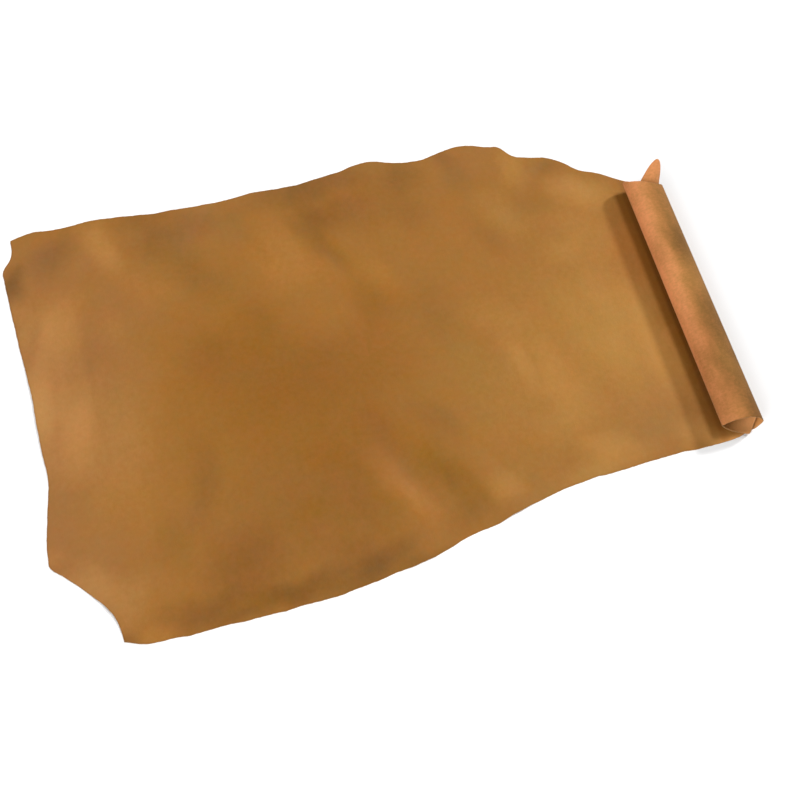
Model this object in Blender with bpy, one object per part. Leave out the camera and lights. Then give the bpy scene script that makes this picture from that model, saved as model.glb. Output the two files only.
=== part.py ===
"""A leather hide, one side of a cow hide, laid grain side up with its right end rolled back on itself.

The hide is one sheet. It is drawn first as a flat pattern: `along` runs from the left end to the
rolled end, `across` from the near edge to the far edge. The pattern is then bent: it lies on the
floor, lifts in a few soft ripples, and winds into a flattened spiral at the right end. All sizes
in the tables are millimetres.
"""

from collections import namedtuple

import bpy
import numpy as np

MM = 0.001

THICKNESS = 2.0
SHEET_MIDDLE = THICKNESS / 2

EdgeStation = namedtuple("EdgeStation", "along across")
EndStation = namedtuple("EndStation", "across along")
RollStation = namedtuple("RollStation", "turn near far")
Ripple = namedtuple("Ripple", "along across length width heading lift")

# The long edge away from the viewer, from the left corner to the roll
FAR_EDGE = [
    EdgeStation(-901, 600),
    EdgeStation(-850, 613),
    EdgeStation(-770, 609),
    EdgeStation(-650, 614),
    EdgeStation(-450, 590),
    EdgeStation(-300, 591),
    EdgeStation(-190, 599),
    EdgeStation(-118, 593),
    EdgeStation(-50, 596),
    EdgeStation(30, 604),
    EdgeStation(100, 621),
    EdgeStation(155, 624),
    EdgeStation(210, 603),
    EdgeStation(300, 594),
    EdgeStation(365, 607),
    EdgeStation(400, 613),
    EdgeStation(450, 606),
    EdgeStation(500, 591),
    EdgeStation(533, 579),
    EdgeStation(558, 543),
    EdgeStation(600, 524),
    EdgeStation(650, 513),
    EdgeStation(700, 481),
    EdgeStation(735, 446),
    EdgeStation(780, 424),
    EdgeStation(853, 376),
]

# The long edge toward the viewer, from the left tip to the roll
NEAR_EDGE = [
    EdgeStation(-737, -594),
    EdgeStation(-710, -605),
    EdgeStation(-600, -616),
    EdgeStation(-500, -615),
    EdgeStation(-350, -613),
    EdgeStation(-200, -608),
    EdgeStation(-50, -586),
    EdgeStation(70, -562),
    EdgeStation(110, -547),
    EdgeStation(200, -531),
    EdgeStation(350, -491),
    EdgeStation(450, -474),
    EdgeStation(600, -467),
    EdgeStation(700, -461),
    EdgeStation(800, -462),
    EdgeStation(853, -459),
]

# The left end, from the near tip up to the far corner
LEFT_END = [
    EndStation(-594, -737),
    EndStation(-560, -742),
    EndStation(-522, -754),
    EndStation(-492, -774),
    EndStation(-462, -802),
    EndStation(-432, -829),
    EndStation(-402, -861),
    EndStation(-372, -890),
    EndStation(-345, -892),
    EndStation(-250, -884),
    EndStation(-150, -871),
    EndStation(-42, -880),
    EndStation(120, -890),
    EndStation(230, -904),
    EndStation(380, -920),
    EndStation(470, -928),
    EndStation(508, -928),
    EndStation(536, -908),
    EndStation(567, -900),
    EndStation(600, -901),
]

# The cut edges of the rolled end, by the turn of the spiral in degrees
ROLL_EDGES = [
    RollStation(0, -456, 362),
    RollStation(25, -449, 352),
    RollStation(50, -448, 338),
    RollStation(80, -444, 318),
    RollStation(110, -445, 302),
    RollStation(140, -440, 297),
    RollStation(170, -437, 303),
    RollStation(200, -435, 315),
    RollStation(230, -433, 328),
    RollStation(260, -430, 343),
    RollStation(290, -425, 346),
    RollStation(315, -430, 341),
    RollStation(345, -441, 334),
    RollStation(375, -451, 323),
    RollStation(391, -457, 316),
    RollStation(410, -446, 308),
    RollStation(430, -434, 300),
    RollStation(455, -428, 290),
    RollStation(490, -412, 284),
    RollStation(640, -398, 280),
]

# The soft ripples of the laid part: middle, length, width, heading in degrees and height
RIPPLES = [
    Ripple(-55, -445, 430, 150, -60, 7.0),
    Ripple(225, -425, 420, 150, -63, 8.0),
    Ripple(-735, 500, 330, 170, 65, 8.0),
    Ripple(-450, 520, 420, 190, 62, 9.0),
    Ripple(-190, 430, 430, 170, -62, 7.0),
    Ripple(30, 500, 380, 150, -68, 8.0),
    Ripple(-880, 60, 560, 150, 84, 3.0),
    Ripple(-700, -470, 300, 150, 40, 6.0),
    Ripple(560, 470, 260, 140, 50, 6.0),
    Ripple(455, -110, 420, 150, -80, 4.0),
]

# The roll: a flattened spiral that shrinks by its pitch in each full turn
ROLL_START = 877.0
ROLL_HALF_WIDTH = 57.0
ROLL_HALF_HEIGHT = 42.0
ROLL_PITCH_ACROSS = 12.0
ROLL_PITCH_UP = 5.0
ROLL_TURNS = 640.0 / 360.0
ROLL_STEP = 8.0

# The tongue of hide that stands out of the far end of the roll
TONGUE_FIRST_TURN = 454.0
TONGUE_LAST_TURN = 587.0
TONGUE_LENGTH = 98.0
TONGUE_SKEW = 0.90
TONGUE_BLUNTNESS = 0.87
TONGUE_LEAN = 0.58
TONGUE_CLEAR_OF_ROLL = 306.0

# The natural wander of a hand-trimmed edge
WANDER = 0.8
WANDER_WAVES = 5
WANDER_LONGEST = 420.0
WANDER_SHORTENING = 1.2
WANDER_SOFTENING = 0.6
WANDER_FADE = 200.0
WANDER_SEED = 7

# Spacing of the mesh
CELL_ALONG = 30.0
CELL_ACROSS = 42.0
STRAIGHT_COLUMNS_FROM = 700.0
SPIRAL_CHORDS = 4000
CUT_EDGE_ANGLE = 40.0

LEATHER_COLOUR = (0.37, 0.16, 0.040, 1)
LEATHER_ROUGHNESS = 0.62


def smooth_curve(stations, values, at):
    """Cubic through the stations, its slope at each one the weighted mean of the slopes beside it."""
    stations, values = np.asarray(stations, float), np.asarray(values, float)
    step = np.diff(stations)
    slope = np.diff(values) / step
    middle = (step[1:] * slope[:-1] + step[:-1] * slope[1:]) / (step[:-1] + step[1:])
    tangent = np.concatenate([slope[:1], middle, slope[-1:]])
    i = np.clip(np.searchsorted(stations, at, side="right") - 1, 0, len(step) - 1)
    t = (at - stations[i]) / step[i]
    start = (1 + 2 * t) * (1 - t) ** 2 * values[i] + t * (1 - t) ** 2 * step[i] * tangent[i]
    end = t**2 * (3 - 2 * t) * values[i + 1] + t**2 * (t - 1) * step[i] * tangent[i + 1]
    return start + end


def wander(at, seed):
    """A sum of sine waves of falling length and height, the same on each run."""
    random = np.random.default_rng(seed)
    total = np.zeros_like(at, dtype=float)
    for k in range(WANDER_WAVES):
        length = WANDER_LONGEST / (1 + k) ** WANDER_SHORTENING
        phase = random.uniform(0, 2 * np.pi)
        total += WANDER / (1 + k) ** WANDER_SOFTENING * np.sin(2 * np.pi * at / length + phase)
    return total


def spiral(turn):
    """Place of the sheet's middle in the roll: an ellipse whose half axes shrink with the turn."""
    share = turn / (2 * np.pi)
    half_width = ROLL_HALF_WIDTH - ROLL_PITCH_ACROSS * share
    half_height = ROLL_HALF_HEIGHT - ROLL_PITCH_UP * share
    x = ROLL_START + half_width * np.sin(turn)
    z = SHEET_MIDDLE + ROLL_HALF_HEIGHT - half_height * np.cos(turn)
    return x, z


def unrolled_spiral():
    """Turns and the length of sheet wound up to each, from short chords."""
    turn = np.linspace(0, 2 * np.pi * ROLL_TURNS, SPIRAL_CHORDS)
    x, z = spiral(turn)
    wound = np.concatenate([[0], np.cumsum(np.hypot(np.diff(x), np.diff(z)))])
    return turn, wound


TURN, WOUND = unrolled_spiral()


def along_of_turn(degrees):
    """Where on the flat pattern a turn of the spiral falls."""
    return ROLL_START + np.interp(np.radians(degrees), TURN, WOUND)


def edge(laid, side, along):
    """The near or far cut edge over its whole length, laid part and roll in one smooth line."""
    stations = [row.along for row in laid] + [along_of_turn(row.turn) for row in ROLL_EDGES]
    values = [row.across for row in laid] + [getattr(row, side) for row in ROLL_EDGES]
    return smooth_curve(stations, values, along)


def tongue(along):
    """How far the tongue stands past the far edge: a blunt fin, steeper on its first side."""
    first, last = along_of_turn(TONGUE_FIRST_TURN), along_of_turn(TONGUE_LAST_TURN)
    share = np.clip((along - first) / (last - first), 0, 1)
    rise = np.clip(np.sin(np.pi * share**TONGUE_SKEW), 0, 1)
    return TONGUE_LENGTH * rise**TONGUE_BLUNTNESS


def laid_pattern():
    """Grid of the laid part: a patch blended between the left end, both long edges and a straight line."""
    near_left, far_left = LEFT_END[0], LEFT_END[-1]
    rows = []
    for low, high in zip(LEFT_END[:-1], LEFT_END[1:]):
        count = int(np.ceil((high.across - low.across) / CELL_ACROSS))
        rows.extend(np.linspace(low.across, high.across, count, endpoint=False))
    rows = np.array(rows + [far_left.across])
    v = ((rows - rows[0]) / (rows[-1] - rows[0]))[None, :]
    columns = int(round((STRAIGHT_COLUMNS_FROM - near_left.along) / CELL_ALONG))
    u = np.linspace(0, 1, columns + 1)[:, None]

    end_along = smooth_curve([r.across for r in LEFT_END], [r.along for r in LEFT_END], rows)[None, :]
    near_along = near_left.along + (STRAIGHT_COLUMNS_FROM - near_left.along) * u
    far_along = far_left.along + (STRAIGHT_COLUMNS_FROM - far_left.along) * u
    near_across = edge(NEAR_EDGE, "near", near_along)
    far_across = edge(FAR_EDGE, "far", far_along)
    left_chord = near_left.along + (far_left.along - near_left.along) * v

    along = (1 - v) * near_along + v * far_along + (1 - u) * (end_along - left_chord)
    across = (1 - v) * near_across + v * far_across
    return along, across, v


def wound_pattern(v):
    """Grid of the straight columns: from the laid part's end to the end inside the roll."""
    flat = np.arange(STRAIGHT_COLUMNS_FROM + CELL_ALONG, ROLL_START - CELL_ALONG / 2, CELL_ALONG)
    turns = np.arange(0, 360 * ROLL_TURNS + ROLL_STEP / 2, ROLL_STEP)
    column = np.concatenate([flat, along_of_turn(turns)])[:, None]
    near = edge(NEAR_EDGE, "near", column)
    far = edge(FAR_EDGE, "far", column) + tongue(column)
    return column + 0 * v, near + (far - near) * v


def flat_pattern():
    """The whole flat pattern as a grid of (along, across), with the trimmed edges' wander."""
    laid_along, laid_across, v = laid_pattern()
    wound_along, wound_across = wound_pattern(v)
    along = np.concatenate([laid_along, wound_along])
    across = np.concatenate([laid_across, wound_across])
    fade = np.clip((ROLL_START - along) / WANDER_FADE, 0, 1)
    near_wander = wander(along, WANDER_SEED)
    far_wander = wander(along, WANDER_SEED + 1)
    across = across + fade * ((1 - v) * near_wander + v * far_wander)
    return along, across


def hump(t):
    """One at the middle, falling smoothly to nothing at a distance of one."""
    return np.clip(1 - t**2, 0, None) ** 2


def lift(along, across):
    """Height of the ripples over the floor, the highest where two meet."""
    total = np.zeros_like(along)
    for ripple in RIPPLES:
        heading = np.radians(ripple.heading)
        out, over = along - ripple.along, across - ripple.across
        length = (out * np.cos(heading) + over * np.sin(heading)) / (ripple.length / 2)
        width = (over * np.cos(heading) - out * np.sin(heading)) / (ripple.width / 2)
        total = np.maximum(total, ripple.lift * hump(length) * hump(width))
    return total


def bent(along, across):
    """Places of the sheet's middle: the pattern laid on the floor, then wound up past the roll's start."""
    turn = np.interp(along - ROLL_START, WOUND, TURN)
    roll_x, roll_z = spiral(turn)
    laid = along < ROLL_START
    x = np.where(laid, along, roll_x)
    z = np.where(laid, SHEET_MIDDLE + lift(along, across), roll_z)
    inside = along > along_of_turn(TONGUE_FIRST_TURN - ROLL_STEP)
    out_of_roll = np.where(inside, np.clip(across - TONGUE_CLEAR_OF_ROLL, 0, None), 0)
    return np.stack([x + TONGUE_LEAN * out_of_roll, across, z], axis=-1)


def normals(middle):
    """Unit normals of the grid, on the grain side."""
    by_along = np.gradient(middle, axis=0)
    by_across = np.gradient(middle, axis=1)
    normal = np.cross(by_along, by_across)
    return normal / np.linalg.norm(normal, axis=-1, keepdims=True)


def sheet_mesh(middle, normal):
    """Closed solid: the grain face, the flesh face half a thickness either side, and the cut edge."""
    columns, rows = middle.shape[:2]
    grain = (middle + normal * THICKNESS / 2).reshape(-1, 3)
    flesh = (middle - normal * THICKNESS / 2).reshape(-1, 3)
    number = np.arange(columns * rows).reshape(columns, rows)
    a, b = number[:-1, :-1].ravel(), number[1:, :-1].ravel()
    c, d = number[1:, 1:].ravel(), number[:-1, 1:].ravel()
    below = columns * rows
    top = np.stack([a, b, c, d], axis=1)
    bottom = np.stack([a, d, c, b], axis=1) + below
    rim = np.concatenate([number[:, 0], number[-1, 1:], number[-2::-1, -1], number[0, -2:0:-1]])
    after = np.roll(rim, -1)
    side = np.stack([rim, rim + below, after + below, after], axis=1)
    return np.concatenate([grain, flesh]), np.concatenate([top, bottom, side])


def centred(points):
    """The points with the middle of their box over the origin and the lowest on the floor."""
    low, high = points.min(axis=0), points.max(axis=0)
    return points - np.array([(low[0] + high[0]) / 2, (low[1] + high[1]) / 2, low[2]])


def leather():
    """Golden tan leather, dull, as the grain side shows."""
    material = bpy.data.materials.new("tan_leather")
    material.use_nodes = True
    shader = material.node_tree.nodes["Principled BSDF"]
    shader.inputs["Base Color"].default_value = LEATHER_COLOUR
    shader.inputs["Roughness"].default_value = LEATHER_ROUGHNESS
    shader.inputs["Metallic"].default_value = 0.0
    return material


def build_hide():
    """The hide's one solid."""
    along, across = flat_pattern()
    middle = bent(along, across)
    points, faces = sheet_mesh(middle, normals(middle))
    mesh = bpy.data.meshes.new("hide")
    mesh.from_pydata(centred(points) * MM, [], faces.tolist())
    mesh.materials.append(leather())
    mesh.shade_smooth()
    mesh.set_sharp_from_angle(angle=np.radians(CUT_EDGE_ANGLE))
    hide = bpy.data.objects.new("hide", mesh)
    bpy.context.scene.collection.objects.link(hide)
    return hide


for leftover in list(bpy.data.objects):
    bpy.data.objects.remove(leftover, do_unlink=True)
build_hide()
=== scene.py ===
"""The looks of a tan leather hide, laid grain side up with its right end rolled back on itself.

One closed sheet stands for the part's solid. It is worked out as the solid is: a flat pattern with
`along` from the left end to the rolled end and `across` from the near edge to the far edge, which
is laid on the floor with soft ripples and then wound into a flattened spiral. Here the grid is
finer, the cut edge is rounded and uneven, and low creases lie over the ripples. The sizes of the
sheet are in millimetres, and those of its finishes, the floor and the camera in metres.
"""

from collections import namedtuple

import bpy
import numpy as np
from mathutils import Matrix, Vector


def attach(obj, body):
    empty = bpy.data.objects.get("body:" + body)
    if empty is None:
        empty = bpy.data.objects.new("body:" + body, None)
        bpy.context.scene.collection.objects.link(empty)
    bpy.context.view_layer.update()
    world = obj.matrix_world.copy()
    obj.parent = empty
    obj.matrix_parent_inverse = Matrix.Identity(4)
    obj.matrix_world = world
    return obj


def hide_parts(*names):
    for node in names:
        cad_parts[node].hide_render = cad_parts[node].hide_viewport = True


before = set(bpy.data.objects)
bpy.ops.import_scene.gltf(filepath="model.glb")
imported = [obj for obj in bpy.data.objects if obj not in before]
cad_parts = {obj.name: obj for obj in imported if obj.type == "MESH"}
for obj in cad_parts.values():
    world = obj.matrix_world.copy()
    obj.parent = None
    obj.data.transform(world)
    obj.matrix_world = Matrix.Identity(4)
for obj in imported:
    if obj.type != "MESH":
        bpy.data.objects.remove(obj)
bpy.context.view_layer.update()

MM = 0.001

THICKNESS = 2.0
SHEET_MIDDLE = THICKNESS / 2

# The middle of the solid's box, in the pattern's own millimetres
BOX_MIDDLE_ALONG = 7.87
BOX_MIDDLE_ACROSS = 3.63

EdgeStation = namedtuple("EdgeStation", "along across")
EndStation = namedtuple("EndStation", "across along")
RollStation = namedtuple("RollStation", "turn near far")
Ripple = namedtuple("Ripple", "along across length width heading lift")
Cloud = namedtuple("Cloud", "along across length width heading light warm")
Bloom = namedtuple("Bloom", "along across length width heading strength")
Sun = namedtuple("Sun", "name azimuth elevation strength softness")

# The long edge away from the viewer, from the left corner to the roll
FAR_EDGE = [
    EdgeStation(-901, 600),
    EdgeStation(-850, 613),
    EdgeStation(-770, 609),
    EdgeStation(-650, 614),
    EdgeStation(-450, 590),
    EdgeStation(-300, 591),
    EdgeStation(-190, 599),
    EdgeStation(-118, 593),
    EdgeStation(-50, 596),
    EdgeStation(30, 604),
    EdgeStation(100, 621),
    EdgeStation(155, 624),
    EdgeStation(210, 603),
    EdgeStation(300, 594),
    EdgeStation(365, 607),
    EdgeStation(400, 613),
    EdgeStation(450, 606),
    EdgeStation(500, 591),
    EdgeStation(533, 579),
    EdgeStation(558, 543),
    EdgeStation(600, 524),
    EdgeStation(650, 513),
    EdgeStation(700, 481),
    EdgeStation(735, 446),
    EdgeStation(780, 424),
    EdgeStation(853, 376),
]

# The long edge toward the viewer, from the left tip to the roll
NEAR_EDGE = [
    EdgeStation(-737, -594),
    EdgeStation(-710, -605),
    EdgeStation(-600, -616),
    EdgeStation(-500, -615),
    EdgeStation(-350, -613),
    EdgeStation(-200, -608),
    EdgeStation(-50, -586),
    EdgeStation(70, -562),
    EdgeStation(110, -547),
    EdgeStation(200, -531),
    EdgeStation(350, -491),
    EdgeStation(450, -474),
    EdgeStation(600, -467),
    EdgeStation(700, -461),
    EdgeStation(800, -462),
    EdgeStation(853, -459),
]

# The left end, from the near tip up to the far corner
LEFT_END = [
    EndStation(-594, -737),
    EndStation(-560, -742),
    EndStation(-522, -754),
    EndStation(-492, -774),
    EndStation(-462, -802),
    EndStation(-432, -829),
    EndStation(-402, -861),
    EndStation(-372, -890),
    EndStation(-345, -892),
    EndStation(-250, -884),
    EndStation(-150, -871),
    EndStation(-42, -880),
    EndStation(120, -890),
    EndStation(230, -904),
    EndStation(380, -920),
    EndStation(470, -928),
    EndStation(508, -928),
    EndStation(536, -908),
    EndStation(567, -900),
    EndStation(600, -901),
]

# The cut edges of the rolled end, by the turn of the spiral in degrees
ROLL_EDGES = [
    RollStation(0, -456, 362),
    RollStation(25, -449, 352),
    RollStation(50, -448, 338),
    RollStation(80, -444, 318),
    RollStation(110, -445, 302),
    RollStation(140, -440, 297),
    RollStation(170, -437, 303),
    RollStation(200, -435, 315),
    RollStation(230, -433, 328),
    RollStation(260, -430, 343),
    RollStation(290, -425, 346),
    RollStation(315, -430, 341),
    RollStation(345, -441, 334),
    RollStation(375, -451, 323),
    RollStation(391, -457, 316),
    RollStation(410, -446, 308),
    RollStation(430, -434, 300),
    RollStation(455, -428, 290),
    RollStation(490, -412, 284),
    RollStation(640, -398, 280),
]

# The soft ripples of the laid part: middle, length, width, heading in degrees and height
RIPPLES = [
    Ripple(-55, -445, 430, 150, -60, 7.0),
    Ripple(225, -425, 420, 150, -63, 8.0),
    Ripple(-735, 500, 330, 170, 65, 8.0),
    Ripple(-450, 520, 420, 190, 62, 9.0),
    Ripple(-190, 430, 430, 170, -62, 7.0),
    Ripple(30, 500, 380, 150, -68, 8.0),
    Ripple(-880, 60, 560, 150, 84, 3.0),
    Ripple(-700, -470, 300, 150, 40, 6.0),
    Ripple(560, 470, 260, 140, 50, 6.0),
    Ripple(455, -110, 420, 150, -80, 4.0),
]

# Low creases over the ripples: middle, length, width, heading in degrees, and height or depth
CREASES = [
    Ripple(-47, 94, 170, 20, -82, -1.0),
    Ripple(-20, 330, 230, 60, -72, -2.2),
    Ripple(-90, 478, 150, 50, -72, -1.6),
    Ripple(2, 385, 110, 26, -45, 0.9),
    Ripple(378, -108, 210, 34, -86, 1.0),
    Ripple(415, -114, 200, 32, -89, -0.9),
    Ripple(-740, 120, 360, 40, 92, -1.7),
    Ripple(-752, 330, 200, 36, 100, -1.0),
    Ripple(34, -375, 320, 66, -62, -1.4),
    Ripple(-850, -345, 90, 26, -48, -0.9),
    Ripple(381, 292, 110, 30, -69, -1.0),
    Ripple(-425, 395, 90, 30, -48, -1.0),
    Ripple(-620, 500, 240, 60, -62, -1.4),
    Ripple(560, 40, 260, 60, -80, 0.8),
]

# How far the sheet swells from the floor inside its edges, and how wide the rise is
SWELL = 2.6
SWELL_MARGIN = 110.0

# The roll: a flattened spiral that shrinks by its pitch in each full turn
ROLL_START = 877.0
ROLL_HALF_WIDTH = 57.0
ROLL_HALF_HEIGHT = 42.0
ROLL_PITCH_ACROSS = 12.0
ROLL_PITCH_UP = 5.0
ROLL_TURNS = 640.0 / 360.0
SPIRAL_CHORDS = 4000

# The tongue of hide that stands out of the far end of the roll: the turns of the spiral between
# which it stands, its length and outline, and where and how far it leans away from the roll
TONGUE_FIRST_TURN = 454.0
TONGUE_LAST_TURN = 587.0
TONGUE_LENGTH = 98.0
TONGUE_SKEW = 0.90
TONGUE_BLUNTNESS = 0.87
TONGUE_LEAN = 0.58
TONGUE_CLEAR_OF_ROLL = 306.0
TONGUE_ROOT_TURN = 446.0

# The natural wander of a hand-trimmed edge, in long waves and in short ones
WANDER = 0.8
WANDER_WAVES = 5
WANDER_LONGEST = 420.0
WANDER_SHORTENING = 1.2
WANDER_SOFTENING = 0.6
WANDER_FADE = 200.0
WANDER_SEED = 7
NIBBLE = 0.3
NIBBLE_WAVES = 9
NIBBLE_LONGEST = 110.0
NIBBLE_SEED = 31

# The waves that make the outlines of the patches uneven
RUFFLE_SHARE = 0.015
RUFFLE_WAVES = 14
RUFFLE_SHORTEST = 44.0
RUFFLE_LONGEST = 230.0
RUFFLE_SEED = 5

# The grid of the sheet
LAID_COLUMNS = 226
ROWS = 143
FLAT_STEP = 9.0
ROLL_STEP = 8.0
STRAIGHT_COLUMNS_FROM = 700.0

# The cut edge: how far the grain face is drawn in, and where its two rings lie in half thicknesses
EDGE_ROUNDING = 0.45
UPPER_RING = 0.55
LOWER_RING = 0.8

# Patches of the grain side, the last ones inside the roll: middle, length, width, heading in
# degrees, tone from dark to light and hue from olive to warm. The rows marked below are painted
# light and shade
GRAIN_CLOUDS_AND_PAINTED_LIGHT = [
    Cloud(-911, 446, 170, 96, 77, -0.36, -0.2),
    Cloud(-905, 370, 110, 90, 80, 0.10, 0.0),
    Cloud(-875, 240, 220, 70, 80, -0.12, 0.0),
    Cloud(-795, 515, 240, 160, 30, -0.20, 0.1),
    Cloud(-650, 510, 300, 130, -70, 0.20, -0.1),
    Cloud(-545, 350, 300, 140, -45, 0.06, 0.2),
    Cloud(-530, 590, 260, 100, 0, -0.15, 0.0),
    Cloud(-495, 535, 250, 80, -25, -0.08, 0.0),
    Cloud(-480, 470, 330, 170, -40, -0.18, -0.4),
    Cloud(-400, 530, 190, 150, 0, -0.18, 0.0),
    Cloud(-390, 340, 260, 180, -30, -0.14, -0.2),
    Cloud(-290, 500, 240, 160, -60, -0.07, -0.4),
    Cloud(-160, 350, 420, 230, -55, 0.12, 0.3),
    Cloud(-60, 468, 280, 130, -60, -0.24, -0.1),
    Cloud(-110, 450, 160, 60, -60, -0.10, 0.0),
    Cloud(-45, 360, 240, 90, -60, -0.18, 0.0),
    Cloud(-95, 140, 280, 220, 0, 0.09, 0.0),
    Cloud(-60, 580, 520, 140, 5, -0.26, 0.0),
    Cloud(40, 470, 300, 170, -20, -0.19, 0.5),
    Cloud(130, 540, 330, 180, -10, -0.10, 0.3),
    Cloud(225, 560, 230, 140, -75, -0.18, -0.2),
    Cloud(210, 430, 240, 170, -60, -0.12, 0.0),
    Cloud(385, 520, 220, 140, -70, -0.12, -0.2),
    Cloud(345, 345, 200, 150, -60, 0.04, 0.3),
    Cloud(480, 350, 280, 170, -60, 0.12, -0.4),
    Cloud(85, 240, 250, 110, -65, 0.12, 0.2),
    Cloud(60, 170, 280, 170, -70, -0.09, 0.3),
    Cloud(30, 80, 320, 130, -80, 0.0, 0.5),
    Cloud(210, 90, 340, 180, -70, -0.10, -0.3),
    Cloud(410, 285, 280, 110, -55, -0.08, 0.1),
    Cloud(540, 500, 220, 120, 75, 0.20, -0.3),
    Cloud(712, 375, 280, 160, -35, 0.24, -0.4),
    Cloud(600, 200, 190, 130, 0, 0.12, 0.0),
    Cloud(560, 365, 220, 130, 10, -0.06, -0.2),
    Cloud(655, 470, 140, 90, -30, -0.16, 0.0),
    Cloud(350, 590, 120, 90, -60, -0.14, 0.0),
    Cloud(690, 250, 380, 260, -60, 0.12, -0.1),
    Cloud(670, -165, 320, 220, -75, 0.09, 0.0),
    Cloud(620, -60, 620, 320, -75, 0.10, -0.5),
    Cloud(690, 20, 360, 170, -75, 0.10, -0.1),
    Cloud(765, -150, 620, 130, -86, 0.20, 0.0),
    Cloud(570, -90, 900, 900, 0, 0.10, -0.15),
    Cloud(380, -110, 260, 76, -82, 0.11, -0.1),
    Cloud(470, -190, 600, 170, -72, 0.12, 0.0),
    Cloud(530, -445, 400, 110, 6, 0.18, -0.3),
    Cloud(535, -395, 200, 100, 0, 0.16, -0.3),
    Cloud(430, -320, 220, 170, 20, 0.06, -0.3),
    Cloud(680, -380, 260, 170, 20, 0.0, -0.6),
    Cloud(780, -425, 160, 120, 0, 0.20, -0.3),
    Cloud(260, -100, 300, 220, -60, 0.0, -0.8),
    Cloud(400, -480, 380, 110, 14, 0.04, -0.6),
    # Partly painted light: the lighter band along the slightly raised left edge, over the hide's own
    # tone
    Cloud(-885, 60, 460, 120, 86, 0.30, -0.5),
    Cloud(-890, 280, 200, 100, 85, 0.12, -0.2),
    Cloud(-835, 90, 280, 110, 80, 0.13, 0.0),
    Cloud(-805, 280, 330, 230, 80, 0.26, 0.1),
    Cloud(-660, 250, 160, 140, 60, 0.08, 0.0),
    Cloud(-790, -20, 420, 190, 78, 0.26, 0.2),
    Cloud(-690, -190, 240, 220, 0, 0.0, 0.35),
    Cloud(-680, -110, 640, 300, 78, 0.12, -0.3),
    Cloud(-780, -450, 230, 160, -30, 0.20, -0.3),
    Cloud(-885, -350, 130, 80, 0, 0.09, 0.0),
    Cloud(-700, -515, 260, 160, 55, 0.10, 0.0),
    Cloud(-750, -600, 160, 90, 0, -0.32, 0.0),
    Cloud(-655, -600, 130, 70, 0, 0.12, 0.0),
    Cloud(-490, -250, 360, 120, 80, -0.14, -0.1),
    Cloud(-420, 120, 260, 220, 60, -0.08, 0.4),
    Cloud(-180, -370, 900, 500, 0, -0.18, 0.2),
    Cloud(-590, -380, 220, 150, 70, -0.10, 0.0),
    Cloud(-430, -480, 320, 240, 15, -0.20, 0.5),
    Cloud(-535, -575, 310, 120, 0, -0.28, 0.4),
    Cloud(-450, -612, 200, 60, 0, -0.20, 0.2),
    Cloud(-322, -572, 350, 95, 6, -0.35, 0.3),
    Cloud(-420, -535, 280, 70, 4, -0.07, 0.0),
    Cloud(-230, -605, 400, 80, 4, -0.12, 0.1),
    Cloud(-20, -210, 240, 130, -60, -0.06, 0.7),
    # Painted light and painted shade: the lit and the shaded flank of the ridge toward the near edge
    Cloud(5, -394, 355, 108, -62, 0.24, 0.3),
    Cloud(135, -395, 380, 120, -60, -0.20, 0.0),
    Cloud(238, -452, 220, 150, 10, 0.15, -0.2),
    Cloud(150, -478, 220, 100, 20, -0.10, -0.1),
    Cloud(-80, -556, 300, 105, 14, -0.16, 0.2),
    Cloud(-150, -520, 220, 130, 0, -0.14, 0.2),
    Cloud(-120, -568, 320, 110, 12, -0.18, -0.2),
    Cloud(-200, -20, 900, 640, -10, -0.20, 0.5),
    Cloud(330, -250, 700, 480, 10, 0.05, -0.2),
    Cloud(-280, 200, 280, 150, -70, -0.07, 0.1),
    Cloud(-720, 190, 200, 120, 80, -0.04, 0.0),
    # Painted light: the roll's shadow made lighter and warmer beyond the roll's near end
    Cloud(848, -450, 140, 110, 0, 0.60, 0.5),
    Cloud(880, -462, 130, 90, 0, 0.40, 0.4),
    Cloud(-130, -280, 260, 180, -60, -0.02, 0.5),
    Cloud(132, -225, 260, 110, -60, -0.10, 0.0),
    Cloud(275, -490, 150, 70, 14, -0.07, 0.0),
    Cloud(20, -582, 300, 60, 14, -0.22, 0.0),
    Cloud(350, 40, 320, 160, -20, 0.06, 0.0),
    # Painted light: the warm tint of light thrown back from the roll into its shadow
    Cloud(780, 140, 420, 150, 88, 0.0, 0.8),
    # Painted light: the hollow inside the roll's near end made bright and warm, as if lit
    Cloud(945, -445, 130, 120, 0, 0.90, 1.2),
    Cloud(1150, -440, 140, 150, 0, 0.60, 0.4),
    Cloud(1225, -440, 150, 150, 0, 0.80, 1.2),
]

# Painted shade: a dark, warm line of the grain side along the roll's foot, which stays straight
ROLL_FOOT_PAINTED_SHADE = [
    Cloud(839, -50, 1300, 26, 90, -0.45, 1.0),
]
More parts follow.
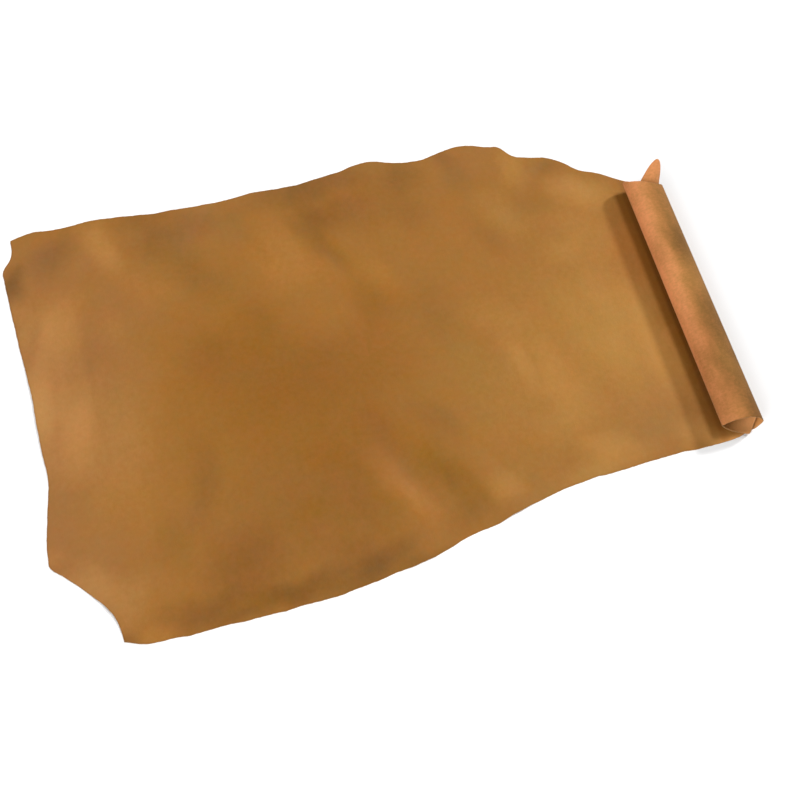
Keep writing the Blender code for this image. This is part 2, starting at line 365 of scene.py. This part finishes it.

# Pale bloom of the grain side, strongest at the left end; inside the roll it is painted light
# in the hollow of the near end. Negative rows thin it
BLOOMS_AND_PAINTED_LIGHT = [
    Bloom(-900, 60, 1500, 640, 86, 1.20),
    Bloom(-800, -470, 520, 420, 20, 0.80),
    Bloom(-790, 520, 620, 320, 5, 0.35),
    Bloom(0, 620, 1300, 220, 2, 0.30),
    Bloom(-520, -330, 320, 110, -30, 0.25),
    Bloom(700, -370, 420, 320, 0, 0.40),
    Bloom(330, -480, 460, 130, 12, 0.25),
    Bloom(490, 340, 220, 120, -40, 0.20),
    Bloom(-230, -80, 900, 560, -15, -0.35),
    Bloom(10, -370, 420, 100, -60, 0.40),
    Bloom(100, -340, 420, 130, -60, -0.55),
    Bloom(-300, 160, 380, 260, -20, -0.30),
    Bloom(-140, -260, 300, 200, -30, -0.25),
    Bloom(60, 180, 420, 220, -60, -0.25),
    Bloom(-640, 150, 1100, 300, 84, 0.45),
    Bloom(-380, 520, 560, 280, -5, 0.45),
    Bloom(420, 540, 420, 200, 0, 0.35),
    Bloom(690, 400, 260, 120, -40, 0.25),
    Bloom(-860, -280, 220, 140, 80, 0.30),
    Bloom(-905, 455, 150, 90, 75, -0.40),
    Bloom(-50, -400, 260, 70, -62, -0.35),
    Bloom(-240, -380, 180, 130, 0, -0.35),
    Bloom(-370, -580, 360, 90, 4, -0.30),
    Bloom(-30, 370, 180, 90, -50, -0.25),
    Bloom(20, -10, 300, 240, 0, -0.15),
    Bloom(-540, 330, 400, 300, -20, 0.20),
    Bloom(-600, -150, 300, 220, 0, 0.18),
    Bloom(560, -80, 640, 440, -80, -0.16),
    Bloom(-30, -440, 560, 240, 0, -0.12),
    # Painted light: the hollow inside the roll's near end made paler and brighter
    Bloom(1200, -440, 260, 160, 0, 2.0),
    Bloom(930, -450, 160, 120, 0, 1.2),
]

# Patches of the flesh side in the roll, by the millimetres wound up from the roll's start; the
# last row is painted shadow at the foot of the tongue
FLESH_CLOUDS_AND_PAINTED_SHADE = [
    Cloud(105, -40, 1300, 150, 90, -0.32, -1.1),
    Cloud(70, -60, 1200, 90, 90, -0.22, -0.3),
    Cloud(212, -120, 900, 120, 90, 0.44, 0.8),
    Cloud(200, 260, 500, 150, 93, 0.40, 0.8),
    Cloud(195, -360, 240, 110, 88, -0.02, 0.3),
    Cloud(160, 225, 170, 80, 70, -0.05, -0.3),
    Cloud(125, 95, 220, 80, 90, -0.21, -0.3),
    Cloud(135, -90, 120, 50, 90, -0.10, 0.0),
    Cloud(205, -250, 160, 50, 90, -0.15, 0.0),
    Cloud(200, 80, 150, 50, 90, -0.12, 0.0),
    Cloud(95, -440, 190, 130, 90, -0.44, -0.4),
    Cloud(160, 120, 180, 50, 70, -0.16, -0.5),
    Cloud(150, -60, 260, 60, 96, -0.06, -0.4),
    Cloud(150, -5, 210, 300, 90, 0.20, 0.1),
    Cloud(140, -190, 240, 260, 90, -0.20, 0.0),
    Cloud(140, -335, 240, 280, 90, -0.20, -0.2),
    Cloud(185, -440, 150, 170, 90, 0.12, 0.3),
    Cloud(165, -200, 150, 60, 70, 0.14, 0.8),
    Cloud(125, -260, 200, 60, 84, 0.12, -0.3),
    Cloud(410, 360, 190, 160, 0, 0.22, 1.0),
    # Painted shadow: the dark strip at the tongue's foot, where the roll's top layer shades it
    Cloud(400, 296, 160, 46, 0, -0.40, 0.0),
]

# The grain side: colours from dark to light by their place on the ramp, the colour of the bloom
# and of the painted light inside the roll, how much bloom lies everywhere, the middle tone, the
# share of the ramp in use, dullness, shine, and the relief's depth and strength
GRAIN_OLIVE = [
    (0.0, (0.150, 0.070, 0.009)), (0.4, (0.293, 0.136, 0.019)),
    (0.8, (0.478, 0.243, 0.052)), (1.0, (0.600, 0.310, 0.075)),
]
GRAIN_WARM = [
    (0.0, (0.166, 0.059, 0.007)), (0.4, (0.327, 0.119, 0.016)),
    (0.8, (0.532, 0.228, 0.050)), (1.0, (0.700, 0.310, 0.080)),
]
BLOOM_AND_LIGHT_COLOUR = (0.004, 0.006, 0.016)
BLOOM_EVERYWHERE = 0.05
GRAIN_TONE = 0.46
GRAIN_RAMP_SHARE = 0.8
GRAIN_DULLNESS = 0.66
GRAIN_SHINE = 0.2
GRAIN_RELIEF = 0.0004
GRAIN_RELIEF_STRENGTH = 0.55
PORES_PER_METRE = 620.0
PORE_SCATTER = 0.9

# The flesh side, as above, with a little sheen from the nap
FLESH_OLIVE = [
    (0.0, (0.175, 0.080, 0.018)), (0.5, (0.350, 0.163, 0.040)), (1.0, (0.560, 0.270, 0.075)),
]
FLESH_PEACH = [
    (0.0, (0.250, 0.085, 0.022)), (0.5, (0.490, 0.185, 0.058)), (1.0, (0.800, 0.315, 0.118)),
]
FLESH_TONE = 0.5
FLESH_DULLNESS = 0.88
FLESH_SHINE = 0.15
FLESH_RELIEF = 0.0006
FLESH_RELIEF_STRENGTH = 0.8
NAP_SHEEN = 0.06
NAP_SHEEN_ROUGHNESS = 0.5

# The raw cut edge, as above
CUT_FIBRES = [
    (0.25, (0.330, 0.160, 0.055)), (0.75, (0.560, 0.330, 0.140)),
]
FIBRES_PER_METRE = 900.0
CUT_DULLNESS = 0.85
CUT_SHINE = 0.2
CUT_RELIEF = 0.0003
CUT_RELIEF_STRENGTH = 0.6

# The hue half way between a finish's two colours
EVEN_HUE = 0.5

# The numbers of the Mix node's sockets for colours
MIX_FACTOR, MIX_FIRST, MIX_SECOND, MIX_RESULT = 0, 6, 7, 2

# The floor, from its middle to each side in metres
FLOOR_REACH = 60.0
FLOOR_WHITE = (0.93, 0.93, 0.93, 1)
FLOOR_DULLNESS = 0.9

# The soft lights, two from the right and a wide one from the left, with angles in degrees, and the
# light of the room
SUNS = [
    Sun("high_light", 113, 63, 1.38, 14),
    Sun("low_light", 113, 36, 2.02, 7),
    Sun("left_light", -60, 32, 1.75, 40),
]
ROOM_WHITE = (1, 1, 1, 1)
ROOM_LIGHT = 0.17

# The camera: lens and sensor in millimetres, direction in degrees, distance and target in metres
LENS = 45
SENSOR_WIDTH = 36
CAMERA_AZIMUTH = -14
CAMERA_ELEVATION = 66
CAMERA_DISTANCE = 2.63
CAMERA_TARGET = (0.0421, -0.1456, 0)


def smooth_curve(stations, values, at):
    """Cubic through the stations. Its slope at each is the weighted mean of those beside it."""
    stations, values = np.asarray(stations, float), np.asarray(values, float)
    step = np.diff(stations)
    slope = np.diff(values) / step
    middle = (step[1:] * slope[:-1] + step[:-1] * slope[1:]) / (step[:-1] + step[1:])
    tangent = np.concatenate([slope[:1], middle, slope[-1:]])
    i = np.clip(np.searchsorted(stations, at, side="right") - 1, 0, len(step) - 1)
    t = (at - stations[i]) / step[i]
    start = (1 + 2 * t) * (1 - t) ** 2 * values[i] + t * (1 - t) ** 2 * step[i] * tangent[i]
    end = t**2 * (3 - 2 * t) * values[i + 1] + t**2 * (t - 1) * step[i] * tangent[i + 1]
    return start + end


def wander(at, seed, height=WANDER, waves=WANDER_WAVES, longest=WANDER_LONGEST):
    """A sum of sine waves of falling length and height.

    Wave k adds height / k^softening * sin(2 pi at / length + phase). Its length is the longest
    one's, divided by k^shortening.
    """
    random = np.random.default_rng(seed)
    total = np.zeros_like(at, dtype=float)
    for k in range(waves):
        length = longest / (1 + k) ** WANDER_SHORTENING
        phase = random.uniform(0, 2 * np.pi)
        total += height / (1 + k) ** WANDER_SOFTENING * np.sin(2 * np.pi * at / length + phase)
    return total


def nibble(at, seed):
    """The short waves of a cut edge, over the long ones."""
    return wander(at, seed, NIBBLE, NIBBLE_WAVES, NIBBLE_LONGEST)


def spiral(turn):
    """Place of the sheet's middle in the roll: an ellipse whose half axes shrink with the turn."""
    share = turn / (2 * np.pi)
    half_width = ROLL_HALF_WIDTH - ROLL_PITCH_ACROSS * share
    half_height = ROLL_HALF_HEIGHT - ROLL_PITCH_UP * share
    x = ROLL_START + half_width * np.sin(turn)
    z = SHEET_MIDDLE + ROLL_HALF_HEIGHT - half_height * np.cos(turn)
    return x, z


def unrolled_spiral():
    """Turns and the length of sheet wound up to each, from short chords."""
    turn = np.linspace(0, 2 * np.pi * ROLL_TURNS, SPIRAL_CHORDS)
    x, z = spiral(turn)
    wound = np.concatenate([[0], np.cumsum(np.hypot(np.diff(x), np.diff(z)))])
    return turn, wound


TURN, WOUND = unrolled_spiral()


def along_of_turn(degrees):
    """Where on the flat pattern a turn of the spiral falls."""
    return ROLL_START + np.interp(np.radians(degrees), TURN, WOUND)


def edge(laid, side, along):
    """The near or far cut edge over its whole length, laid part and roll in one smooth line."""
    stations = [row.along for row in laid] + [along_of_turn(row.turn) for row in ROLL_EDGES]
    values = [row.across for row in laid] + [getattr(row, side) for row in ROLL_EDGES]
    return smooth_curve(stations, values, along)


def tongue(along):
    """How far the tongue stands past the far edge: length * sin(pi share^skew)^bluntness."""
    first, last = along_of_turn(TONGUE_FIRST_TURN), along_of_turn(TONGUE_LAST_TURN)
    share = np.clip((along - first) / (last - first), 0, 1)
    rise = np.clip(np.sin(np.pi * share**TONGUE_SKEW), 0, 1)
    return TONGUE_LENGTH * rise**TONGUE_BLUNTNESS


def laid_pattern(v):
    """Grid of the laid part: long edges blended by v, plus the left end's bow, faded out by u."""
    near_left, far_left = LEFT_END[0], LEFT_END[-1]
    u = np.linspace(0, 1, LAID_COLUMNS + 1)[:, None]
    level = near_left.across + (far_left.across - near_left.across) * v
    end_along = smooth_curve([r.across for r in LEFT_END], [r.along for r in LEFT_END], level)
    end_along = end_along + nibble(level, NIBBLE_SEED + 2)
    near_along = near_left.along + (STRAIGHT_COLUMNS_FROM - near_left.along) * u
    far_along = far_left.along + (STRAIGHT_COLUMNS_FROM - far_left.along) * u
    left_chord = near_left.along + (far_left.along - near_left.along) * v

    along = (1 - v) * near_along + v * far_along + (1 - u) * (end_along - left_chord)
    across = (1 - v) * edge(NEAR_EDGE, "near", near_along) + v * edge(FAR_EDGE, "far", far_along)
    return along, across


def wound_pattern(v):
    """Grid of the straight columns: from the laid part's end to the end inside the roll."""
    flat = np.arange(STRAIGHT_COLUMNS_FROM + FLAT_STEP, ROLL_START - FLAT_STEP / 2, FLAT_STEP)
    turns = np.arange(0, 360 * ROLL_TURNS + ROLL_STEP / 2, ROLL_STEP)
    column = np.concatenate([flat, along_of_turn(turns)])[:, None]
    near = edge(NEAR_EDGE, "near", column)
    far = edge(FAR_EDGE, "far", column) + tongue(column)
    return column + 0 * v, near + (far - near) * v


def flat_pattern():
    """The whole flat pattern as a grid of (along, across), with the trimmed edges' wander."""
    v = np.linspace(0, 1, ROWS)[None, :]
    laid_along, laid_across = laid_pattern(v)
    wound_along, wound_across = wound_pattern(v)
    along = np.concatenate([laid_along, wound_along])
    across = np.concatenate([laid_across, wound_across])
    fade = np.clip((ROLL_START - along) / WANDER_FADE, 0, 1)
    near = fade * wander(along, WANDER_SEED) + nibble(along, NIBBLE_SEED)
    far = fade * wander(along, WANDER_SEED + 1) + nibble(along, NIBBLE_SEED + 1)
    return along, across + (1 - v) * near + v * far


def hump(t):
    """(1 - t^2)^2: one at the middle, falling smoothly to nothing at a distance of one."""
    return np.clip(1 - t**2, 0, None) ** 2


def patch(row, along, across):
    """A long soft patch: the hump of the distance along its heading times the hump across it."""
    heading = np.radians(row.heading)
    out, over = along - row.along, across - row.across
    length = (out * np.cos(heading) + over * np.sin(heading)) / (row.length / 2)
    width = (over * np.cos(heading) - out * np.sin(heading)) / (row.width / 2)
    return hump(length) * hump(width)


def swell(along, across):
    """How far the inner part lies over the floor: a soft rise from each edge and from the roll."""
    left_end = smooth_curve([r.across for r in LEFT_END], [r.along for r in LEFT_END], across)
    gaps = [
        along - left_end,
        ROLL_START - along,
        edge(FAR_EDGE, "far", along) - across,
        across - edge(NEAR_EDGE, "near", along),
    ]
    total = SWELL * np.ones_like(along)
    for gap in gaps:
        total *= hump(1 - np.clip(gap / SWELL_MARGIN, 0, 1))
    return total


def lift(along, across):
    """Height over the floor: the highest of the swell and the ripples, plus the low creases."""
    total = swell(along, across)
    for ripple in RIPPLES:
        total = np.maximum(total, ripple.lift * patch(ripple, along, across))
    creases = sum(crease.lift * patch(crease, along, across) for crease in CREASES)
    return np.clip(total + creases, 0, None)


def bent(along, across):
    """Places of the sheet's middle: laid on the floor up to the roll's start, then wound up."""
    turn = np.interp(along - ROLL_START, WOUND, TURN)
    roll_x, roll_z = spiral(turn)
    laid = along < ROLL_START
    x = np.where(laid, along, roll_x)
    z = np.where(laid, SHEET_MIDDLE + lift(along, across), roll_z)
    inside = along > along_of_turn(TONGUE_ROOT_TURN)
    out_of_roll = np.where(inside, np.clip(across - TONGUE_CLEAR_OF_ROLL, 0, None), 0)
    return np.stack([x + TONGUE_LEAN * out_of_roll, across, z], axis=-1)


def unit(vectors):
    """The vectors at length one."""
    return vectors / np.linalg.norm(vectors, axis=-1, keepdims=True)


def normals(middle):
    """Unit normals of the grid, on the grain side."""
    return unit(np.cross(np.gradient(middle, axis=0), np.gradient(middle, axis=1)))


def sheet_mesh(middle, normal):
    """Closed sheet: grain face, flesh face and a cut edge.

    The faces lie half a thickness either side of the middle. The outline of the grain face is drawn
    in by the rounding, and the cut edge runs through two rings at full width, so its upper corner
    is round.
    """
    columns, rows = middle.shape[:2]
    number = np.arange(columns * rows).reshape(columns, rows)
    rim = np.concatenate([number[:, 0], number[-1, 1:], number[-2::-1, -1], number[0, -2:0:-1]])
    middle, normal = middle.reshape(-1, 3), normal.reshape(-1, 3)
    around = np.roll(middle[rim], -1, axis=0) - np.roll(middle[rim], 1, axis=0)
    outward = unit(np.cross(around, normal[rim]))
    half = normal * THICKNESS / 2
    grain, flesh = middle + half, middle - half
    grain[rim] -= outward * EDGE_ROUNDING
    upper = middle[rim] + half[rim] * UPPER_RING
    lower = middle[rim] - half[rim] * LOWER_RING

    a, b = number[:-1, :-1].ravel(), number[1:, :-1].ravel()
    c, d = number[1:, 1:].ravel(), number[:-1, 1:].ravel()
    below = columns * rows
    top = np.stack([a, b, c, d], axis=1)
    bottom = np.stack([a, d, c, b], axis=1) + below
    ring = 2 * below + np.arange(len(rim))
    levels = [rim, ring, ring + len(rim), rim + below]
    sides = [
        np.stack([high, low, np.roll(low, -1), np.roll(high, -1)], axis=1)
        for high, low in zip(levels[:-1], levels[1:])
    ]
    points = np.concatenate([grain, flesh, upper, lower])
    source = np.concatenate([number.ravel(), number.ravel(), rim, rim])
    return points, [top, bottom, np.concatenate(sides)], source


class Value:
    """A number that a socket gives. Sums, differences and products of it add Math nodes."""

    def __init__(self, finish, socket):
        self.finish, self.socket = finish, socket

    def maths(self, operation, first, second):
        """A Math node's result for two numbers."""
        return self.finish.node("ShaderNodeMath", {"operation": operation}, {0: first, 1: second})

    def __add__(self, other):
        return self.maths("ADD", self, other)

    def __sub__(self, other):
        return self.maths("SUBTRACT", self, other)

    def __rsub__(self, other):
        return self.maths("SUBTRACT", other, self)

    def __mul__(self, other):
        return self.maths("MULTIPLY", self, other)

    __radd__, __rmul__ = __add__, __mul__


class Finish:
    """A material and the nodes that it is made of."""

    def __init__(self, name):
        self.material = bpy.data.materials.new(name)
        self.material.use_nodes = True
        self.tree = self.material.node_tree
        self.shader = self.tree.nodes["Principled BSDF"]

    def node(self, kind, settings, sockets, output=0):
        """One output of a new node, whose settings are set first, then its sockets."""
        node = self.tree.nodes.new(kind)
        for name, setting in settings.items():
            if name == "stops":
                set_stops(node.color_ramp, setting)
            else:
                setattr(node, name, setting)
        for name, value in sockets.items():
            self.feed(node.inputs[name], value)
        return Value(self, node.outputs[output])

    def feed(self, socket, value):
        """Links a value to a socket, or sets the socket to a plain number or colour."""
        if isinstance(value, Value):
            self.tree.links.new(value.socket, socket)
        else:
            socket.default_value = value

    def place(self):
        """Where a point lies on the flat pattern, in metres."""
        return self.node("ShaderNodeUVMap", {"uv_map": "pattern"}, {})

    def stretched(self, place, along, across):
        """The place with its two directions scaled, which draws a pattern out along one."""
        return self.node("ShaderNodeMapping", {}, {"Vector": place, "Scale": (along, across, 1)})

    def attribute(self, name):
        """A number kept on the mesh's points."""
        return self.node("ShaderNodeAttribute", {"attribute_name": name}, {}, "Fac")

    def mottle(self, place, per_metre, detail=3.0, rough=0.55):
        """Soft noise about nought, with so many patches in a metre."""
        sockets = {"Vector": place, "Scale": per_metre, "Detail": detail, "Roughness": rough}
        return self.node("ShaderNodeTexNoise", {"noise_dimensions": "2D"}, sockets) - 0.5

    def colours(self, factor, stops):
        """A colour from a ramp."""
        return self.node("ShaderNodeValToRGB", {"stops": stops}, {"Fac": factor})

    def mixed(self, factor, first, second):
        """One colour passing into another."""
        sockets = {MIX_FACTOR: factor, MIX_FIRST: first, MIX_SECOND: second}
        return self.node("ShaderNodeMix", {"data_type": "RGBA"}, sockets, MIX_RESULT)

    def hazed(self, colour, amount, haze):
        """The colour with a thin haze of another added, as much as the amount."""
        kind = "ShaderNodeVectorMath"
        veil = self.node(kind, {"operation": "SCALE"}, {0: haze, "Scale": amount})
        return self.node(kind, {"operation": "ADD"}, {0: colour, 1: veil})

    def bump(self, height, distance, strength=1.0):
        """A normal from a height."""
        sockets = {"Height": height, "Distance": distance, "Strength": strength}
        return self.node("ShaderNodeBump", {}, sockets)


def set_stops(ramp, stops):
    """Puts (place, colour) stops on a ramp."""
    for element, (place, colour) in zip(ramp.elements, stops):
        element.position, element.color = place, (*colour, 1)
    for place, colour in stops[len(ramp.elements):]:
        ramp.elements.new(place).color = (*colour, 1)


def grain_side():
    """Smooth, dull grain side: warm and olive clouds, some of them painted light and shade, a pale
    bloom that inside the roll is painted light, fine mottling and pores.
    """
    finish = Finish("tan_grain_side")
    place = finish.place()
    broad = finish.mottle(place, 6)
    middling = finish.mottle(place, 22)
    small = finish.mottle(place, 64)
    fine = finish.mottle(place, 150, 4, 0.65)
    fleck = finish.mottle(finish.stretched(place, 1.0, 0.45), 280, 2)

    tone = GRAIN_TONE + finish.attribute("tone") + 0.05 * broad + 0.08 * middling + 0.12 * small
    tone = tone + 0.07 * fine + 0.06 * fleck
    share = GRAIN_RAMP_SHARE * tone
    olive = finish.colours(share, GRAIN_OLIVE)
    warm = finish.colours(share, GRAIN_WARM)
    hue = EVEN_HUE + 0.5 * finish.attribute("warmth") + 0.75 * finish.mottle(place, 11)
    hue = hue + 0.8 * finish.mottle(place, 52) + 0.5 * fine
    # The pale bloom; inside the roll's near end it is painted light
    bloom = BLOOM_EVERYWHERE + finish.attribute("bloom") + 0.6 * finish.mottle(place, 16)
    bloom = bloom + 0.6 * finish.mottle(place, 70)
    colour = finish.hazed(finish.mixed(hue, olive, warm), bloom, BLOOM_AND_LIGHT_COLOUR)
    finish.feed(finish.shader.inputs["Base Color"], colour)
    finish.feed(finish.shader.inputs["Roughness"], GRAIN_DULLNESS + 0.12 * middling + 0.10 * fine)

    pebble = finish.node(
        "ShaderNodeTexVoronoi", {"voronoi_dimensions": "2D", "feature": "F1"},
        {"Vector": place, "Scale": PORES_PER_METRE, "Randomness": PORE_SCATTER},
    )
    wrinkle = finish.mottle(finish.stretched(place, 1.0, 0.35), 170, 4, 0.6)
    height = 0.5 * pebble + 0.9 * wrinkle + 0.5 * fine
    relief = finish.bump(height, GRAIN_RELIEF, GRAIN_RELIEF_STRENGTH)
    finish.feed(finish.shader.inputs["Normal"], relief)
    finish.shader.inputs["Specular IOR Level"].default_value = GRAIN_SHINE
    return finish.material


def flesh_side():
    """Brushed flesh side: peach and olive patches, streaks of nap, and hardly any shine."""
    finish = Finish("tan_flesh_side")
    place = finish.place()
    broad = finish.mottle(place, 13)
    streak = finish.mottle(finish.stretched(place, 1.0, 0.35), 60, 3)
    ragged = finish.mottle(finish.stretched(place, 0.6, 1.0), 150, 3, 0.65)
    nap = finish.mottle(place, 420, 3, 0.7)
    tone = FLESH_TONE + finish.attribute("tone") + 0.12 * broad + 0.16 * streak
    tone = tone + 0.20 * ragged + 0.12 * nap
    olive = finish.colours(tone, FLESH_OLIVE)
    peach = finish.colours(tone, FLESH_PEACH)
    hue = EVEN_HUE + 0.5 * finish.attribute("warmth") + 0.5 * broad + 0.6 * streak + 0.9 * ragged
    finish.feed(finish.shader.inputs["Base Color"], finish.mixed(hue, olive, peach))
    finish.feed(finish.shader.inputs["Roughness"], FLESH_DULLNESS + 0.10 * nap)
    relief = finish.bump(nap + 0.6 * streak, FLESH_RELIEF, FLESH_RELIEF_STRENGTH)
    finish.feed(finish.shader.inputs["Normal"], relief)
    finish.shader.inputs["Specular IOR Level"].default_value = FLESH_SHINE
    finish.shader.inputs["Sheen Weight"].default_value = NAP_SHEEN
    finish.shader.inputs["Sheen Roughness"].default_value = NAP_SHEEN_ROUGHNESS
    return finish.material


def cut_edge():
    """Raw cut edge: paler fibres in fine layers."""
    finish = Finish("tan_cut_edge")
    place = finish.node("ShaderNodeTexCoord", {}, {}, "Object")
    sockets = {"Vector": place, "Scale": FIBRES_PER_METRE, "Detail": 3.0, "Roughness": 0.7}
    fibre = finish.node("ShaderNodeTexNoise", {}, sockets)
    finish.feed(finish.shader.inputs["Base Color"], finish.colours(fibre, CUT_FIBRES))
    relief = finish.bump(fibre, CUT_RELIEF, CUT_RELIEF_STRENGTH)
    finish.feed(finish.shader.inputs["Normal"], relief)
    finish.shader.inputs["Roughness"].default_value = CUT_DULLNESS
    finish.shader.inputs["Specular IOR Level"].default_value = CUT_SHINE
    return finish.material


def ruffled(along, across):
    """The places moved by crossing waves, so that the patches get uneven outlines.

    Each wave has its own heading and length. It moves a place by a share of its length times a sine.
    """
    random = np.random.default_rng(RUFFLE_SEED)
    out, over = np.zeros_like(along), np.zeros_like(across)
    for _ in range(RUFFLE_WAVES):
        heading, first, second = random.uniform(0, 2 * np.pi, 3)
        length = random.uniform(RUFFLE_SHORTEST, RUFFLE_LONGEST)
        wave = 2 * np.pi * (along * np.cos(heading) + across * np.sin(heading)) / length
        out += RUFFLE_SHARE * length * np.sin(wave + first)
        over += RUFFLE_SHARE * length * np.sin(wave + second)
    return along + out, across + over


def clouded(clouds, column, along, across):
    """One number of the points: the sum of each patch's own strength times its soft shape."""
    return sum(getattr(cloud, column) * patch(cloud, along, across) for cloud in clouds)


def keep_numbers(mesh, name, numbers):
    """Keeps a number for each point of the mesh."""
    kept = mesh.attributes.new(name, "FLOAT", "POINT")
    kept.data.foreach_set("value", numbers.astype(np.float32))


def keep_patches(mesh, along, across, flesh):
    """Keeps each point's tone, warmth and bloom, with painted light and shade among them, in
    ruffled patches, for the finishes to read.
    """
    out, over = ruffled(along, across)
    wound = out - ROLL_START
    for name, column in (("tone", "light"), ("warmth", "warm")):
        on_grain = clouded(GRAIN_CLOUDS_AND_PAINTED_LIGHT, column, out, over)
        # Painted shade along the roll's foot, from the unruffled places so that it stays straight
        on_grain = on_grain + clouded(ROLL_FOOT_PAINTED_SHADE, column, along, across)
        on_flesh = clouded(FLESH_CLOUDS_AND_PAINTED_SHADE, column, wound, over)
        keep_numbers(mesh, name, np.where(flesh, on_flesh, on_grain))
    keep_numbers(mesh, "bloom", clouded(BLOOMS_AND_PAINTED_LIGHT, "strength", out, over))


def keep_pattern(mesh, along, across):
    """Keeps each face corner's place on the flat pattern as a UV map, in metres."""
    corner = np.empty(len(mesh.loops), np.int32)
    mesh.loops.foreach_get("vertex_index", corner)
    pattern = np.stack([along[corner], across[corner]], axis=1) * MM
    mesh.uv_layers.new(name="pattern").data.foreach_set("uv", pattern.astype(np.float32).ravel())


def build_hide():
    """The whole hide as one sheet with its three finishes."""
    along, across = flat_pattern()
    middle = bent(along, across)
    points, faces, source = sheet_mesh(middle, normals(middle))
    points = (points - np.array([BOX_MIDDLE_ALONG, BOX_MIDDLE_ACROSS, 0])) * MM

    mesh = bpy.data.meshes.new("leather_hide")
    mesh.from_pydata(points, [], np.concatenate(faces).tolist())
    for finish in (grain_side(), flesh_side(), cut_edge()):
        mesh.materials.append(finish)
    slots = np.repeat([0, 1, 2], [len(group) for group in faces])
    mesh.polygons.foreach_set("material_index", slots.astype(np.int32))

    face_points = along.size
    rim_points = len(source) - 2 * face_points
    flesh = np.repeat([False, True, False], [face_points, face_points, rim_points])
    along, across = along.ravel()[source], across.ravel()[source]
    keep_patches(mesh, along, across, flesh)
    keep_pattern(mesh, along, across)
    mesh.shade_smooth()
    mesh.update()

    hide = bpy.data.objects.new("leather_hide", mesh)
    bpy.context.scene.collection.objects.link(hide)
    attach(hide, "root")
    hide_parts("hide")


def build_floor():
    """A plain white floor that runs on past the edges of the view."""
    reach = FLOOR_REACH
    mesh = bpy.data.meshes.new("floor")
    corners = [(-reach, -reach, 0), (reach, -reach, 0), (reach, reach, 0), (-reach, reach, 0)]
    mesh.from_pydata(corners, [], [(0, 1, 2, 3)])
    finish = Finish("white_floor")
    finish.shader.inputs["Base Color"].default_value = FLOOR_WHITE
    finish.shader.inputs["Roughness"].default_value = FLOOR_DULLNESS
    finish.shader.inputs["Specular IOR Level"].default_value = 0.0
    mesh.materials.append(finish.material)
    floor = bpy.data.objects.new("floor", mesh)
    bpy.context.scene.collection.objects.link(floor)


def from_above(azimuth, elevation):
    """Unit vector toward a place at that azimuth from the front and that elevation, in degrees."""
    azimuth, elevation = np.radians(azimuth), np.radians(elevation)
    flat = np.cos(elevation)
    return Vector((np.sin(azimuth) * flat, -np.cos(azimuth) * flat, np.sin(elevation)))


def add_sun(sun):
    """A soft light far away in its direction."""
    light = bpy.data.lights.new(sun.name, "SUN")
    light.energy = sun.strength
    light.angle = np.radians(sun.softness)
    lamp = bpy.data.objects.new(sun.name, light)
    lamp.rotation_euler = from_above(sun.azimuth, sun.elevation).to_track_quat("Z", "Y").to_euler()
    bpy.context.scene.collection.objects.link(lamp)


def light_the_scene():
    """Two soft lights from the right, a wide one from the left and an even white room."""
    for sun in SUNS:
        add_sun(sun)
    world = bpy.data.worlds.new("room")
    world.use_nodes = True
    background = world.node_tree.nodes["Background"]
    background.inputs["Color"].default_value = ROOM_WHITE
    background.inputs["Strength"].default_value = ROOM_LIGHT
    bpy.context.scene.world = world
    bpy.context.scene.view_settings.view_transform = "Standard"


def place_camera():
    """The camera of the picture: above the near edge, looking down at the middle of the hide."""
    camera = bpy.data.cameras.new("camera")
    camera.lens = LENS
    camera.sensor_width = SENSOR_WIDTH
    eye = bpy.data.objects.new("camera", camera)
    direction = from_above(CAMERA_AZIMUTH, CAMERA_ELEVATION)
    eye.location = Vector(CAMERA_TARGET) + direction * CAMERA_DISTANCE
    eye.rotation_euler = direction.to_track_quat("Z", "Y").to_euler()
    bpy.context.scene.collection.objects.link(eye)
    bpy.context.scene.camera = eye


build_hide()
build_floor()
light_the_scene()
place_camera()
